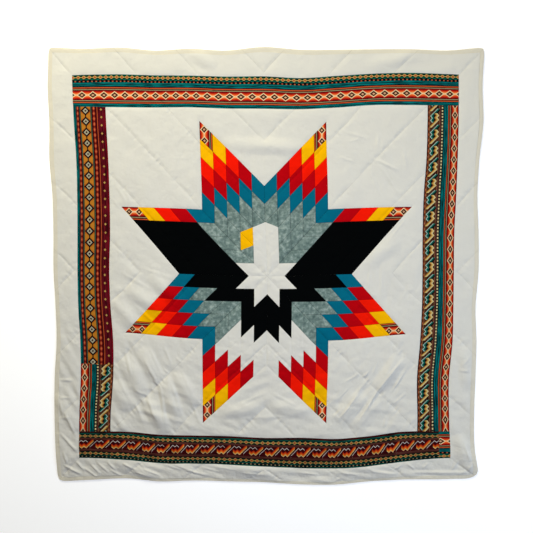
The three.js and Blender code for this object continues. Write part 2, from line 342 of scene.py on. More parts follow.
def rumple(a, b, seed):
    """Smooth heights from -1 to 1: fixed random numbers on a lattice, eased between its corners."""
    size = 64
    lattice = np.random.default_rng(seed).uniform(-1, 1, (size, size))
    i, j = np.floor(a).astype(int), np.floor(b).astype(int)
    s, t = eased(a - i), eased(b - j)
    i, j, next_i, next_j = i % size, j % size, (i + 1) % size, (j + 1) % size
    near = lattice[i, j] * (1 - s) + lattice[next_i, j] * s
    far = lattice[i, next_j] * (1 - s) + lattice[next_i, next_j] * s
    return near * (1 - t) + far * t


def from_stitching(u, v):
    """Distance to the nearest line of quilting: they run towards the star, an even pitch apart."""
    level = (np.abs(v) - np.abs(u)) / QUILTING_PITCH
    return np.abs(level - np.round(level)) * QUILTING_PITCH / math.sqrt(2)


def worn(x, y):
    """Creases and soft ripples of the top cloth, which die away from each worn part's middle."""
    height = np.sum([ridge(x, y, row) for row in CREASES], axis=0)
    for seed, (middle_x, middle_y, reach, turn, spacing, rise) in enumerate(RIPPLES, 20):
        along, across = along_and_across(x, y, middle_x, middle_y, turn)
        fade = np.exp(-((x - middle_x) ** 2 + (y - middle_y) ** 2) / reach**2)
        height = height + rise * fade * rumple(across / spacing, along / (4.5 * spacing), seed)
    return height


def towards_hem(y):
    """The top cloth's rise at the bottom print, both ways from its middle, less its fall to the hem."""
    (rise_y, rise_reach, rise), (fall_y, fall_reach, fall) = HEM_RISE, HEM_FALL
    up = np.clip(1 - np.abs(y - rise_y) / rise_reach, 0, 1)
    down = np.clip((fall_y - y) / fall_reach, 0, 1)
    return rise * eased(up) - fall * eased(down)


def from_centre(u, v):
    """Distance from the star's centre, measured square to the quilt's nearest side."""
    return np.maximum(np.abs(u), np.abs(v))


def cloth_thickness(u, v, x, y, rim, patch):
    """Puff between the seams and the quilting, less the grooves there, with puckers square to them.

    rim is the distance to the piece's own border, and patch to the nearest seam within the piece. Each
    effect dies away from its line by a power of e, and the quilting's ones also near the binding. Each
    rumple has its width in mm and its own seed, and the quilting gathers more cloth towards the foot.
    """
    stitched = from_stitching(u, v)
    held = 1 - 0.42 * np.exp(-((stitched / HELD_REACH) ** 2))
    puff = SEAM_THICKNESS + (PUFF_THICKNESS - SEAM_THICKNESS) * (1 - np.exp(-rim / PUFF_REACH)) * held
    from_binding = np.maximum(WHITE_EDGE - from_centre(u, v), 0)
    free = 1 - 0.9 * np.exp(-from_binding / BINDING_REACH)
    pulled_down = (1.5 + 0.9 * rumple(x / 48, y / 48, 10)) * free
    groove = pulled_down * np.exp(-((stitched / GROOVE_REACH) ** 2))
    groove = groove + 0.5 * np.exp(-((patch / GROOVE_REACH) ** 2))
    along, aside = (np.abs(u) + np.abs(v)) / math.sqrt(2), (np.abs(v) - np.abs(u)) / math.sqrt(2)
    pulled_in = (0.85 - 0.4 * y / EDGE) * free * np.exp(-stitched / GATHER_REACH)
    gathered = pulled_in * rumple(along / 9.5, aside / 26, 3)
    near = np.exp(-np.minimum(rim, patch) / PUCKER_REACH)
    pucker = 1.9 * gathered + 0.9 * near * rumple(x / 13, y / 13, 4) + 0.35 * rumple(x / 18, y / 18, 9)
    slack = 1.1 * rumple(x / 70, y / 70, 5) + 0.6 * rumple(x / 34, y / 34, 6)
    inside = 1 - np.exp(-rim / RIM_REACH)
    loose = pucker + slack + worn(x, y)
    return puff - groove * inside + loose * (0.45 + 0.55 * inside) + towards_hem(y)


def binding_thickness(u, v, x, y, rim, patch):
    """Nearly flat: it sinks a little outwards, turns down at its outer edge, and is slightly uneven.

    The turn is an arc of an ellipse, which starts at a share of the binding's width.
    """
    out = (from_centre(u, v) - WHITE_EDGE) / BINDING_WIDTH
    turn_start, turn_length = 0.82, 0.33
    turned = np.sqrt(1 - np.clip((out - turn_start) / turn_length, 0, 1) ** 2)
    dip = 0.4 * np.exp(-((out / 0.15) ** 2)) + 0.2 * out
    uneven = 0.3 * rumple(x / 13, y / 13, 7) + 0.6 * rumple(x / 40, y / 40, 8)
    return BINDING_RIM + (BINDING_THICKNESS - BINDING_RIM - dip + uneven + towards_hem(y)) * turned


def border_of(columns, rows):
    """Indices once round a grid's border, against the clock."""
    index = np.arange(columns * rows).reshape(rows, columns)
    return np.concatenate([index[0, :-1], index[:-1, -1], index[-1, :0:-1], index[:0:-1, 0]])


def drawn_in(x, y, loop):
    """The border's points moved inwards by half the gap, square to the border's sides."""
    spots = np.stack([x[loop], y[loop]], 1)
    into = spots - np.roll(spots, 1, 0)
    into /= np.linalg.norm(into, axis=1, keepdims=True)
    out = np.roll(into, -1, 0)
    turned = into + out
    inward = np.stack([-turned[:, 1], turned[:, 0]], 1) / (1 + (into * out).sum(1, keepdims=True))
    x, y = x.copy(), y.copy()
    x[loop] += inward[:, 0] * SEAM_GAP / 2
    y[loop] += inward[:, 1] * SEAM_GAP / 2
    return x, y


def breaks(start, end):
    """Even breaks about one cell apart, both ends included."""
    return np.linspace(start, end, max(2, round(abs(end - start) / CELL) + 1))


def sew(name, plan, columns, rows, fabrics, choose=None, thickness=cloth_thickness):
    """One closed piece on a grid: a top at the cloth's height, a plain back, and a wall between them.

    plan turns the grid's two parameters into the pattern's u and v, the distances to the rim and to the
    nearest patch seam, and the cloth's own grain. choose gives each face its fabric's number. The map
    called patches counts small diamonds along a star point's two sides, and a piece without patches lies
    in the middle of one.
    """
    s, t = (a.ravel() for a in np.meshgrid(columns, rows))
    u, v, rim, patch, grain_x, grain_y = plan(s, t)
    x, y = place(u, v)
    rise = lift(x, y)
    top = rise + thickness(u, v, x, y, rim, patch)
    loop = border_of(len(columns), len(rows))
    x, y = drawn_in(x, y, loop)
    count = len(x)
    spots = np.zeros((2 * count, 3))
    spots[:, 0] = np.tile(x + CENTRING[0], 2)
    spots[:, 1] = np.tile(y + CENTRING[1], 2)
    spots[:, 2] = np.concatenate([rise, top])

    index = np.arange(count).reshape(len(rows), len(columns))
    a, b = index[:-1, :-1].ravel(), index[:-1, 1:].ravel()
    c, d = index[1:, 1:].ravel(), index[1:, :-1].ravel()
    upper = np.stack([a, b, d, b, c, d], 1).reshape(-1, 3)
    after = np.roll(loop, -1)
    wall = np.stack([loop, after, after + count, loop, after + count, loop + count], 1).reshape(-1, 3)
    faces = np.concatenate([upper + count, upper[:, ::-1], wall])

    layers = {"pattern": (u / 1000, v / 1000), "grain": (grain_x / 1000, grain_y / 1000)}
    layers["patches"] = np.full((2, count), 0.5)
    fabric_of = np.zeros(len(faces), int)
    if choose is not None:
        layers["patches"] = (s / DIAMOND, t / DIAMOND)
        fabric_of[: len(upper)] = choose(s[upper].mean(1), t[upper].mean(1))
    fabric_of[len(upper) :] = len(fabrics) - 1

    mesh = bpy.data.meshes.new(name)
    mesh.vertices.add(len(spots))
    mesh.vertices.foreach_set("co", (spots / 1000).ravel())
    mesh.loops.add(faces.size)
    mesh.loops.foreach_set("vertex_index", faces.ravel())
    mesh.polygons.add(len(faces))
    mesh.polygons.foreach_set("loop_start", np.arange(0, faces.size, 3))
    mesh.polygons.foreach_set("material_index", fabric_of)
    mesh.polygons.foreach_set("use_smooth", np.arange(len(faces)) < 2 * len(upper))
    for layer, coordinates in layers.items():
        at_corners = np.stack(coordinates, 1)[faces.ravel() % count]
        mesh.uv_layers.new(name=layer).data.foreach_set("uv", at_corners.ravel())
    mesh.update(calc_edges=True)
    mesh.validate()
    mesh.set_sharp_from_angle(angle=SHARP_ANGLE)
    for fabric in fabrics:
        mesh.materials.append(fabric)
    piece = bpy.data.objects.new(name, mesh)
    bpy.context.scene.collection.objects.link(piece)
    return piece


def finish_piece(piece, node, flat):
    """Ties a piece to the frame and hides the frame's part that it dresses. The size its cloth was cut to is
    worked out from flat but not used.
    """
    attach(piece, "root")
    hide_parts(node)
    width, length = (side / 1000 for side in flat)


class Number:
    """A socket that holds a number. Python's operators on it add Math nodes."""

    def __init__(self, dye, socket):
        self.dye, self.socket = dye, socket

    def math(self, operation, *others):
        values = dict(enumerate((self, *others)))
        return Number(self.dye, self.dye.node("ShaderNodeMath", {"operation": operation}, values).outputs[0])

    def flipped(self, operation, other):
        values = {0: other, 1: self}
        return Number(self.dye, self.dye.node("ShaderNodeMath", {"operation": operation}, values).outputs[0])

    def __add__(self, other):
        return self.math("ADD", other)

    def __sub__(self, other):
        return self.math("SUBTRACT", other)

    def __rsub__(self, other):
        return self.flipped("SUBTRACT", other)

    def __mul__(self, other):
        return self.math("MULTIPLY", other)

    def __truediv__(self, other):
        return self.math("DIVIDE", other)

    def __lt__(self, other):
        return self.math("LESS_THAN", other)

    def __gt__(self, other):
        return self.math("GREATER_THAN", other)

    def __abs__(self):
        return self.math("ABSOLUTE")

    __radd__ = __add__
    __rmul__ = __mul__

    def part(self):
        """What is left over a whole number."""
        return self.math("FRACT")

    def steps(self, size):
        """The value held at even steps."""
        return self.math("SNAP", size)


def paint(red, green, blue):
    """A colour as seen on a screen, 0 to 255, as the light that the shader wants."""
    linear = [c / 3294.6 if c <= 10 else ((c / 255 + 0.055) / 1.055) ** 2.4 for c in (red, green, blue)]
    return (*linear, 1.0)


WHITE = paint(227, 224, 214)
CREAM = paint(228, 221, 202)
TAN = paint(168, 150, 112)
GOLD = paint(212, 152, 48)
SAND = paint(240, 208, 158)
STRAW = paint(226, 206, 150)
ORANGE = paint(232, 84, 24)
RUST = paint(196, 84, 46)
BRICK = paint(158, 30, 14)
MAROON = paint(70, 8, 12)
CRIMSON = paint(136, 8, 28)
BROWN = paint(88, 46, 28)
MAUVE = paint(96, 52, 44)
TEAL = paint(0, 122, 122)
DEEP_TEAL = paint(0, 52, 56)
OLIVE = paint(192, 172, 92)
COPPER = paint(176, 90, 54)
GREEN = paint(0, 92, 78)
DARK_GREEN = paint(2, 34, 30)
PALE_TEAL = paint(178, 216, 200)
BLACK = paint(14, 9, 11)


# The cotton's threads and stitches, and half the width of its lines of painted shade, in metres
THREAD_PITCH = 0.0011
STITCH_PITCH = 0.0062
STITCH_HALF = 0.0005
QUILTED_LINE_HALF = 0.0011
SEAM_LINE_HALF = 0.0011


class Dye:
    """Makes one fabric's nodes."""

    def __init__(self, name):
        self.material = bpy.data.materials.new(name)
        self.material.use_nodes = True
        self.tree = self.material.node_tree
        self.tree.nodes.clear()

    def node(self, kind, settings, values):
        """Adds a node. Settings come first, then its sockets get values or links, by name or number."""
        made = self.tree.nodes.new(kind)
        stops = settings.pop("stops", None)
        for key, value in settings.items():
            setattr(made.color_ramp if key == "interpolation" else made, key, value)
        if stops:
            ramp = made.color_ramp
            for at, colour in stops[2:]:
                ramp.elements.new(at)
            for element, (at, colour) in zip(ramp.elements, stops):
                element.position, element.color = at, colour
        for key, value in values.items():
            if isinstance(value, Number):
                value = value.socket
            if isinstance(value, bpy.types.NodeSocket):
                self.tree.links.new(value, made.inputs[key])
            else:
                made.inputs[key].default_value = value
        return made

    def mixed(self, share, first, second):
        """The first colour where share is 0, the second where it is 1."""
        values = {0: share, 6: first, 7: second}
        return self.node("ShaderNodeMix", {"data_type": "RGBA"}, values).outputs[2]

    def shaded(self, level, stops, held=True):
        """Colours along a level: held from each stop to the next, or blended between them."""
        settings = {"interpolation": "CONSTANT" if held else "LINEAR", "stops": stops}
        return self.node("ShaderNodeValToRGB", settings, {0: level}).outputs[0]

    def cloth_at(self, layer):
        """The two coordinates of one of the piece's UV maps, in metres."""
        uv = self.node("ShaderNodeUVMap", {"uv_map": layer}, {}).outputs[0]
        split = self.node("ShaderNodeSeparateXYZ", {}, {0: uv})
        return Number(self, split.outputs[0]), Number(self, split.outputs[1])

    def spot(self):
        """The shaded spot's own place, in metres."""
        return self.node("ShaderNodeTexCoord", {}, {}).outputs["Object"]

    def cloud(self, scale, detail=2.0, where=None, stretch=None):
        """Soft random patches from 0 to 1, so many to the metre."""
        where = where or self.spot()
        if stretch:
            product = {"operation": "MULTIPLY"}
            where = self.node("ShaderNodeVectorMath", product, {0: where, 1: stretch}).outputs[0]
        values = {"Vector": where, "Scale": scale, "Detail": detail, "Roughness": 0.55}
        return Number(self, self.node("ShaderNodeTexNoise", {}, values).outputs[0])

    def bump(self, height, distance, strength, under=None):
        """A surface with this height, on top of the one under it."""
        values = {"Height": height, "Distance": distance, "Strength": strength}
        if under:
            values["Normal"] = under
        return self.node("ShaderNodeBump", {}, values).outputs[0]

    def shade(self, colour, amount):
        """The colour made darker by an amount from 0 to 1."""
        return self.mixed(amount, colour, (0.0, 0.0, 0.0, 1.0))

    def cotton(self, colour, weave=1.0, sheen=0.0, seam_shade=0.45, quilted_shade=0.16):
        """Finishes a fabric: weave, slubs, crinkles, and a dark line of painted shade along each seam and
        stitched line.

        The crinkles deepen from the top edge to the foot, more steeply over the last sixth. The quilting's
        line is darker in some soft patches and fainter in others.
        """
        u, v = self.cloth_at("pattern")
        turns = 2 * math.pi / THREAD_PITCH
        thread = (u * turns).math("SINE") * (v * turns).math("SINE")
        slub = self.cloud(420.0)
        normal = self.bump(thread * 0.5 + slub, distance=0.00022 * weave, strength=0.6)
        normal = self.bump(self.cloud(95.0, 3.0), distance=0.0012, strength=0.5, under=normal)
        to_top = Number(self, self.node("ShaderNodeSeparateXYZ", {}, {0: self.spot()}).outputs[1])
        deep = (to_top * -3.2 - 2.0).math("MAXIMUM", 0.0) + (0.7 - to_top * 0.2)
        crinkled = abs(self.cloud(17.0, 4.0) - 0.5) * deep
        normal = self.bump(crinkled, distance=0.009, strength=0.55, under=normal)
        pitch = QUILTING_PITCH / 1000
        level = (abs(v) - abs(u)) / pitch
        away = abs((level + 0.5).part() - 0.5) * (pitch / math.sqrt(2))
        stitch = ((abs(u) + abs(v)) / STITCH_PITCH).part() < 0.6
        sewn = (away < STITCH_HALF) * (stitch - 0.5)
        normal = self.bump(sewn, distance=0.0006, strength=0.8, under=normal)
        # Painted shade along the seams and in the quilted lines' grooves
        s, t = self.cloth_at("patches")
        seam = (0.5 - abs((s + 0.5).part() - 0.5)).math("MAXIMUM", 0.5 - abs((t + 0.5).part() - 0.5))
        dark = (seam > 0.5 - SEAM_LINE_HALF * 1000 / DIAMOND) * seam_shade
        pulled = (self.cloud(16.0) - 0.3) * 2.4
        dark = dark.math("MAXIMUM", (away < QUILTED_LINE_HALF) * pulled * quilted_shade)
        values = {"Base Color": self.shade(colour, dark), "Roughness": 0.92, "Normal": normal}
        values.update({"Sheen Weight": sheen, "Sheen Roughness": 0.6, "Specular IOR Level": 0.05})
        shader = self.node("ShaderNodeBsdfPrincipled", {}, values)
        self.node("ShaderNodeOutputMaterial", {}, {0: shader.outputs[0]})
        return self.material


def plain(name, colour, darker=0.9, **finish):
    """A plain dyed cotton, a little lighter and darker in soft patches."""
    dye = Dye(name)
    worn_colour = tuple(c * darker for c in colour[:3]) + (1.0,)
    return dye.cotton(dye.mixed(dye.cloud(14.0, 4.0), worn_colour, colour), **finish)


def marbled(name):
    """Grey-green cotton, mottled pale and dark at the scale of a fingertip."""
    dye = Dye(name)
    stops = [(0.30, paint(78, 98, 94)), (0.5, paint(116, 136, 130)), (0.68, paint(164, 180, 172))]
    mottle = dye.cloud(75.0, 5.0) * 0.75 + dye.cloud(22.0, 3.0) * 0.25
    return dye.cotton(dye.shaded(mottle, stops, held=False), seam_shade=0.6, quilted_shade=0.3)


# Repeats of the prints along their stripes, in metres
SMALL_REPEAT = 0.0223
SPOT_REPEAT = 0.0335
OMBRE_REPEAT = 0.0445
GILDED_REPEAT = 0.0446
BOLT_REPEAT = 0.066


def lozenge(along, across, width, repeat, half_long, half_wide):
    """Distance from a row of diamonds: 0 at a middle, 1 at the diamond's sides."""
    off = abs((along / repeat).part() - 0.5) * (repeat / half_long)
    return off + abs(across - 0.5) * (width / half_wide)


def middle_line(across, width, half_wide):
    """1 so near the stripe's middle, and 0 elsewhere."""
    return abs(across - 0.5) < half_wide / width


def within(level, top):
    """1 where a level lies between 0 and its top, and 0 elsewhere."""
    return (level > 0.0) * (level < top)


def streaked(dye, along, across, first, second, width):
    """Fine streaks that run along the strip."""
    where = dye.node("ShaderNodeCombineXYZ", {}, {0: along, 1: across * width}).outputs[0]
    level = (dye.cloud(1.0, 2.0, where, (14.0, 190.0, 1.0)) - 0.38) * 5.0
    return dye.mixed(level.math("MAXIMUM", 0.0).math("MINIMUM", 1.0), first, second)


def chain(dye, along, across, width):
    """Rust diamonds with an olive outline, joined by an olive thread."""
    level = lozenge(along, across, width, SMALL_REPEAT, half_long=0.0098, half_wide=0.0078)
    ground = dye.mixed(middle_line(across, width, 0.0012), DARK_GREEN, OLIVE)
    return dye.mixed(level < 1.0, ground, dye.shaded(level, [(0, BRICK), (0.2, COPPER), (0.72, OLIVE)]))


def zigzag(dye, along, across, width):
    """Black teeth on green."""
    tooth = abs((along / SMALL_REPEAT).part() - 0.5) * 1.5 + 0.15
    return dye.mixed(across > tooth, GREEN, BLACK)


def beads(repeat, half_long, half_wide, colour):
    """A row of small squares on black."""
    def motif(dye, along, across, width):
        bead = abs((along / repeat).part() - 0.5) < half_long / repeat
        return dye.mixed(bead * middle_line(across, width, half_wide), BLACK, colour)
    return motif


def spots(dye, along, across, width):
    """Small gold diamonds with a brown rim, on dark red streaks."""
    level = lozenge(along, across, width, SPOT_REPEAT, half_long=0.0072, half_wide=0.0062)
    ground = streaked(dye, along, across, paint(56, 4, 12), paint(112, 18, 32), width)
    return dye.mixed(level < 1.0, ground, dye.shaded(level, [(0, paint(204, 158, 84)), (0.75, BROWN)]))


def teal(dye, along, across, width):
    """Teal in fine streaks, with thin dark lines along it."""
    line_pitch = 0.0090
    line = (across * (width / line_pitch) + 0.3).part() < 0.36
    broken = (dye.cloud(26.0) * 1.6).math("MINIMUM", 1.0)
    return dye.mixed(line * broken, streaked(dye, along, across, DEEP_TEAL, TEAL, width), paint(4, 24, 30))


def lined(*stops):
    """Even lines along the stripe, each from its share of the stripe's width to the next one's."""
    def motif(dye, along, across, width):
        return dye.shaded(across, stops)
    return motif


def streaks(first, second):
    """A stripe in streaks of two colours."""
    def motif(dye, along, across, width):
        return streaked(dye, along, across, first, second, width)
    return motif


rust_line = lined((0, BLACK), (0.26, RUST), (0.5, paint(214, 84, 34)), (0.76, BLACK))
tan_line = lined((0, BLACK), (0.3, TAN), (0.74, BLACK))
fine_line = lined((0, BLACK), (0.3, paint(70, 104, 84)), (0.75, BLACK))
thin_stripes = lined((0, MAROON), (0.22, BLACK), (0.34, RUST), (0.7, MAROON))
dark_line = streaks(BLACK, MAROON)
green_line = streaks(BLACK, GREEN)
crimson = streaks(paint(74, 2, 14), CRIMSON)
mauve = streaks(paint(60, 28, 22), MAUVE)


def ombre(half_long, half_wide):
    """A band from dark red through orange to cream in its middle, with a row of ringed diamonds."""
    def motif(dye, along, across, width):
        between = 1 - abs((along / OMBRE_REPEAT).part() - 0.5) * 2
        off = abs(across - 0.5) * 2 + between * 0.1
        glow = [(0.1, SAND), (0.3, paint(242, 138, 70)), (0.52, paint(226, 74, 26))]
        glow += [(0.76, paint(176, 22, 14)), (1.0, paint(92, 8, 12))]
        ground = dye.shaded(off + (dye.cloud(60.0) - 0.5) * 0.2, glow, held=False)
        shifted = along + OMBRE_REPEAT / 2
        level = lozenge(shifted, across, width, OMBRE_REPEAT, half_long, half_wide)
        rings = [(0, BRICK), (0.09, SAND), (0.22, paint(150, 84, 60))]
        rings += [(0.38, paint(46, 16, 12)), (0.74, SAND)]
        return dye.mixed(level < 1.0, ground, dye.shaded(level, rings))
    return motif


def gilded(dye, along, across, width):
    """Gold with a row of black diamonds that touch, each with a cream ring and a dark red heart."""
    arc = abs((along / GILDED_REPEAT).part() - 0.5) * 2 + abs(across - 0.5) * 1.1
    stops = [(0.35, paint(150, 56, 18)), (0.75, paint(190, 96, 28)), (1.0, paint(206, 132, 40))]
    ground = dye.shaded(arc, stops, held=False)
    level = lozenge(along, across, width, GILDED_REPEAT, half_long=0.0205, half_wide=0.0190)
    waist = middle_line(across, width, 0.0022)
    rings = [(0, MAROON), (0.15, BLACK), (0.25, paint(190, 182, 154)), (0.58, BLACK)]
    return dye.mixed(level < 1.0, dye.mixed(waist, ground, BLACK), dye.shaded(level, rings))


def leaves(dye, along, across, width):
    """Long orange-pink leaves, end to end on dark red brown, with a small dark eye between two."""
    level = lozenge(along, across, width, SMALL_REPEAT, half_long=0.019, half_wide=width * 0.36)
    between = along + SMALL_REPEAT / 2
    eye = lozenge(between, across, width, SMALL_REPEAT, half_long=0.0040, half_wide=width * 0.12)
    stops = [(0, paint(224, 120, 74)), (0.36, paint(178, 66, 38)), (0.74, BRICK), (0.95, MAROON)]
    leaf = dye.shaded(level, stops)
    return dye.mixed(eye < 1.0, leaf, paint(92, 22, 16))


def ovals(dye, along, across, width):
    """Tan diamonds with a rust rim, end to end on brown."""
    level = lozenge(along, across, width, SMALL_REPEAT, half_long=0.0095, half_wide=width * 0.3)
    return dye.shaded(level, [(0, TAN), (0.4, RUST), (0.95, BROWN)])


# The bolt's edge over one repeat, from 0 to 1 along and across the band: two teeth, then a long slope
BOLT = [(0.0, 0.24), (0.14, 0.05), (0.27, 0.22), (0.41, 0.05), (0.86, 0.78), (0.87, 1.0), (0.999, 1.0)]


def bolt_edge(dye, phase):
    """How far across the band the bolt's edge lies, at a phase counted in repeats."""
    stops = [(at, (level, level, level, 1.0)) for at, level in BOLT]
    return Number(dye, dye.shaded(phase.part(), stops, held=False))


def lightning(dye, along, across, width):
    """Green bolts with a pale edge, and between them the same bolts in gold, turned half way round."""
    phase = along / BOLT_REPEAT
    green = 1 - across - bolt_edge(dye, 1 - phase)
    gold = across - bolt_edge(dye, phase + 0.57)
    ground = streaked(dye, along, across, paint(24, 12, 10), BROWN, width)
    ground = dye.mixed(abs(across - 0.5) > 0.45, ground, paint(140, 98, 62))
    stops = [(0, PALE_TEAL), (0.08, GREEN), (0.27, BLACK)]
    body = dye.mixed(within(green, 0.46), ground, dye.shaded(green, stops))
    stops = [(0, STRAW), (0.12, paint(216, 172, 84)), (0.24, paint(166, 104, 44))]
    return dye.mixed(within(gold, 0.33), body, dye.shaded(gold, stops))


def flame(dye, along, across, width):
    """The same bolts as orange flames with a cream foot, and a thin white one between them, on maroon."""
    phase = along / BOLT_REPEAT
    low = across - bolt_edge(dye, phase)
    ground = streaked(dye, along, across, paint(46, 4, 10), MAROON, width)
    stops = [(0.0, SAND), (0.08, GOLD), (0.2, ORANGE), (0.34, paint(176, 36, 12)), (0.44, paint(110, 14, 12))]
    body = dye.mixed(within(low, 0.4), ground, dye.shaded(low, stops, held=False))
    high = 1 - across - bolt_edge(dye, 1.5 - phase)
    return dye.mixed(within(high, 0.07), body, paint(222, 208, 200))


# Stripes of each printed strip, from its outer edge to its inner one: what they show, and their width in mm.
# Beads have their repeat, half length and half width first, and an ombre band its diamonds' half sizes.
TOP_PRINT = [
    (green_line, 4), (chain, 14), (zigzag, 6), (beads(0.0168, 0.0030, 0.0023, COPPER), 7), (teal, 18),
    (rust_line, 8), (tan_line, 6), (ombre(0.0212, 0.0158), 39), (tan_line, 6), (rust_line, 8), (teal, 14),
]
LEFT_PRINT = [
    (teal, 11), (leaves, 13), (fine_line, 6), (gilded, 38), (fine_line, 6), (leaves, 17), (thin_stripes, 9),
    (spots, 23), (crimson, 7),
]
RIGHT_PRINT = [
    (ombre(0.0212, 0.0130), 32), (tan_line, 6), (rust_line, 7), (teal, 19),
    (beads(0.0127, 0.0036, 0.0027, STRAW), 9), (mauve, 7), (lightning, 41), (ovals, 6), (dark_line, 3),
]
BOTTOM_PRINT = [
    (green_line, 5), (beads(0.0168, 0.0024, 0.0020, TAN), 8), (green_line, 3), (chain, 17), (dark_line, 3),
    (mauve, 9), (flame, 45), (mauve, 9), (chain, 17), (green_line, 6), (dark_line, 8),
]
STAR_PRINT = [(ombre(0.0180, 0.0160), 37), (tan_line, 6), (rust_line, 8), (teal, 18)]


def striped(name, print_rows, dim=0.0, repeat=False):
    """A printed cotton: its grain's first coordinate runs along the stripes, the second across them. dim
    darkens the whole print, partly as a darker dye and partly as painted shade.
    """
    dye = Dye(name)
    along, across = dye.cloth_at("grain")
    total = sum(width for _, width in print_rows) / 1000
    if repeat:
        across = (across / total).part() * total
    colour, start = None, 0.0
    for motif, width in print_rows:
        width = width / 1000
        band = motif(dye, along, (across - start) / width, width)
        colour = band if colour is None else dye.mixed(across > start, colour, band)
        start += width
    # dim darkens the print: partly a darker dye, partly painted shade
    return dye.cotton(dye.shade(colour, dim), weave=0.8)


FABRICS = {
    "white": plain("white cotton", WHITE, 0.96, sheen=0.03, seam_shade=0.05),
    "cream": plain("cream binding cotton", CREAM, 0.93, sheen=0.03),
    "back": plain("backing cotton", paint(226, 222, 210), 0.96, sheen=0.03, seam_shade=0.0),
    "black": plain("black cotton", paint(0, 2, 3), 0.6),
    "blue": plain("teal blue cotton", paint(0, 106, 132), 0.85),
    "crimson": plain("crimson cotton", paint(190, 0, 12), 0.88),
    "orange": plain("orange red cotton", paint(255, 24, 1), 0.92),
    "yellow": plain("golden yellow cotton", paint(255, 187, 1), 0.97),
    "grey": marbled("marbled grey cotton"),
    "print": striped("star tip print", STAR_PRINT, repeat=True),
    "top": striped("top border print", TOP_PRINT),
    # The left, right and bottom prints are darkened: partly a darker dye, partly painted shade where less
    # light falls than on the top print.
    "left": striped("left border print", LEFT_PRINT, 0.2),
    "right": striped("right border print", RIGHT_PRINT, 0.16),
    "bottom": striped("bottom border print", BOTTOM_PRINT, 0.2),
}

# Fabric of a star point's diamonds by how many steps they lie from the centre
RINGS = ["white", "grey", "grey", "grey", "blue", "crimson", "orange", "yellow", "print"]
STAR_FABRICS = ["white", "grey", "black", "blue", "crimson", "orange", "yellow", "print", "back"]


def patch_fabric(point, i, j, outer):
    """Fabric of a small diamond: i steps along the point's upright or upper side, j along the other.

    outer is true for the half of the diamond that lies away from the star's centre.
    """
    ring = RINGS[i + j]
    if point in ("north_left", "north_right"):
        if (i, j) in ((1, 0), (2, 0)):
            return "grey" if i == 2 and outer else "white"
        if point == "north_left" and ((i, j) == (0, 1) and outer or (i, j) == (1, 1) and not outer):
            return "yellow"
    elif point in ("west_upper", "east_upper"):
        if i < DIAMONDS_ALONG - 1 and j > 0:
            return "black"
    elif point in ("west_lower", "east_lower"):
        if (i, j) in ((1, 0), (2, 0), (3, 0), (0, 1), (1, 1)):
            return "black"
    elif (i, j) in ((1, 0), (0, 1), (1, 1), (0, 2)):
        return "black"
    elif j > 0 and i + j in (3, 4):
        return "white"
    return ring


POINTS = ["east_upper", "north_right", "north_left", "west_upper"]
POINTS += ["west_lower", "south_left", "south_right", "east_lower"]
RIGHT_POINTS = ("east_upper", "north_right", "south_right", "east_lower")


def add_star():
    """Eight rhombuses, each with a corner at the centre and its sides an eighth of a turn apart."""
    sides = breaks(0, POINT_SIDE)
    eighth = math.pi / 4
    sine = math.sin(eighth)
    fabrics = [FABRICS[name] for name in STAR_FABRICS]
    for k, point in enumerate(POINTS):
        a, b = k * eighth, (k + 1) * eighth
        upright = point.startswith(("north", "south"))

        def plan(s, t):
            u, v = s * math.cos(a) + t * math.cos(b), s * math.sin(a) + t * math.sin(b)
            rim = np.min([s, POINT_SIDE - s, t, POINT_SIDE - t], axis=0) * sine
            lattice = [np.abs(w / DIAMOND - np.round(w / DIAMOND)) for w in (s, t)]
            patch = np.min(lattice, axis=0) * DIAMOND * sine
            grain = (v, INNER - np.abs(u)) if upright else (u, INNER - np.abs(v))
            return u, v, rim, patch, *grain

        def choose(s, t):
            i, j = (s // DIAMOND).astype(int), (t // DIAMOND).astype(int)
            outer = (s / DIAMOND - i) + (t / DIAMOND - j) > 1
            if point in RIGHT_POINTS:
                i, j = j, i
            table = np.array([
                [[STAR_FABRICS.index(patch_fabric(point, m, n, half)) for half in (False, True)]
                 for n in range(DIAMONDS_ALONG)]
                for m in range(DIAMONDS_ALONG)
            ])
            return table[i, j, outer.astype(int)]

        piece = sew(f"pieced_point_{point}", plan, sides, sides, fabrics, choose)
        width, length = 2 * POINT_SIDE * math.sin(eighth / 2), 2 * POINT_SIDE * math.cos(eighth / 2)
        finish_piece(piece, f"star_point_{point}", (width, length))


def quarter(u, v, turns):
    """A place turned round the star's centre by so many quarters, against the clock."""
    for _ in range(turns):
        u, v = -v, u
    return u, v


FAINT = 45.0  # added to the distance from a seam of white to white, which hardly shows


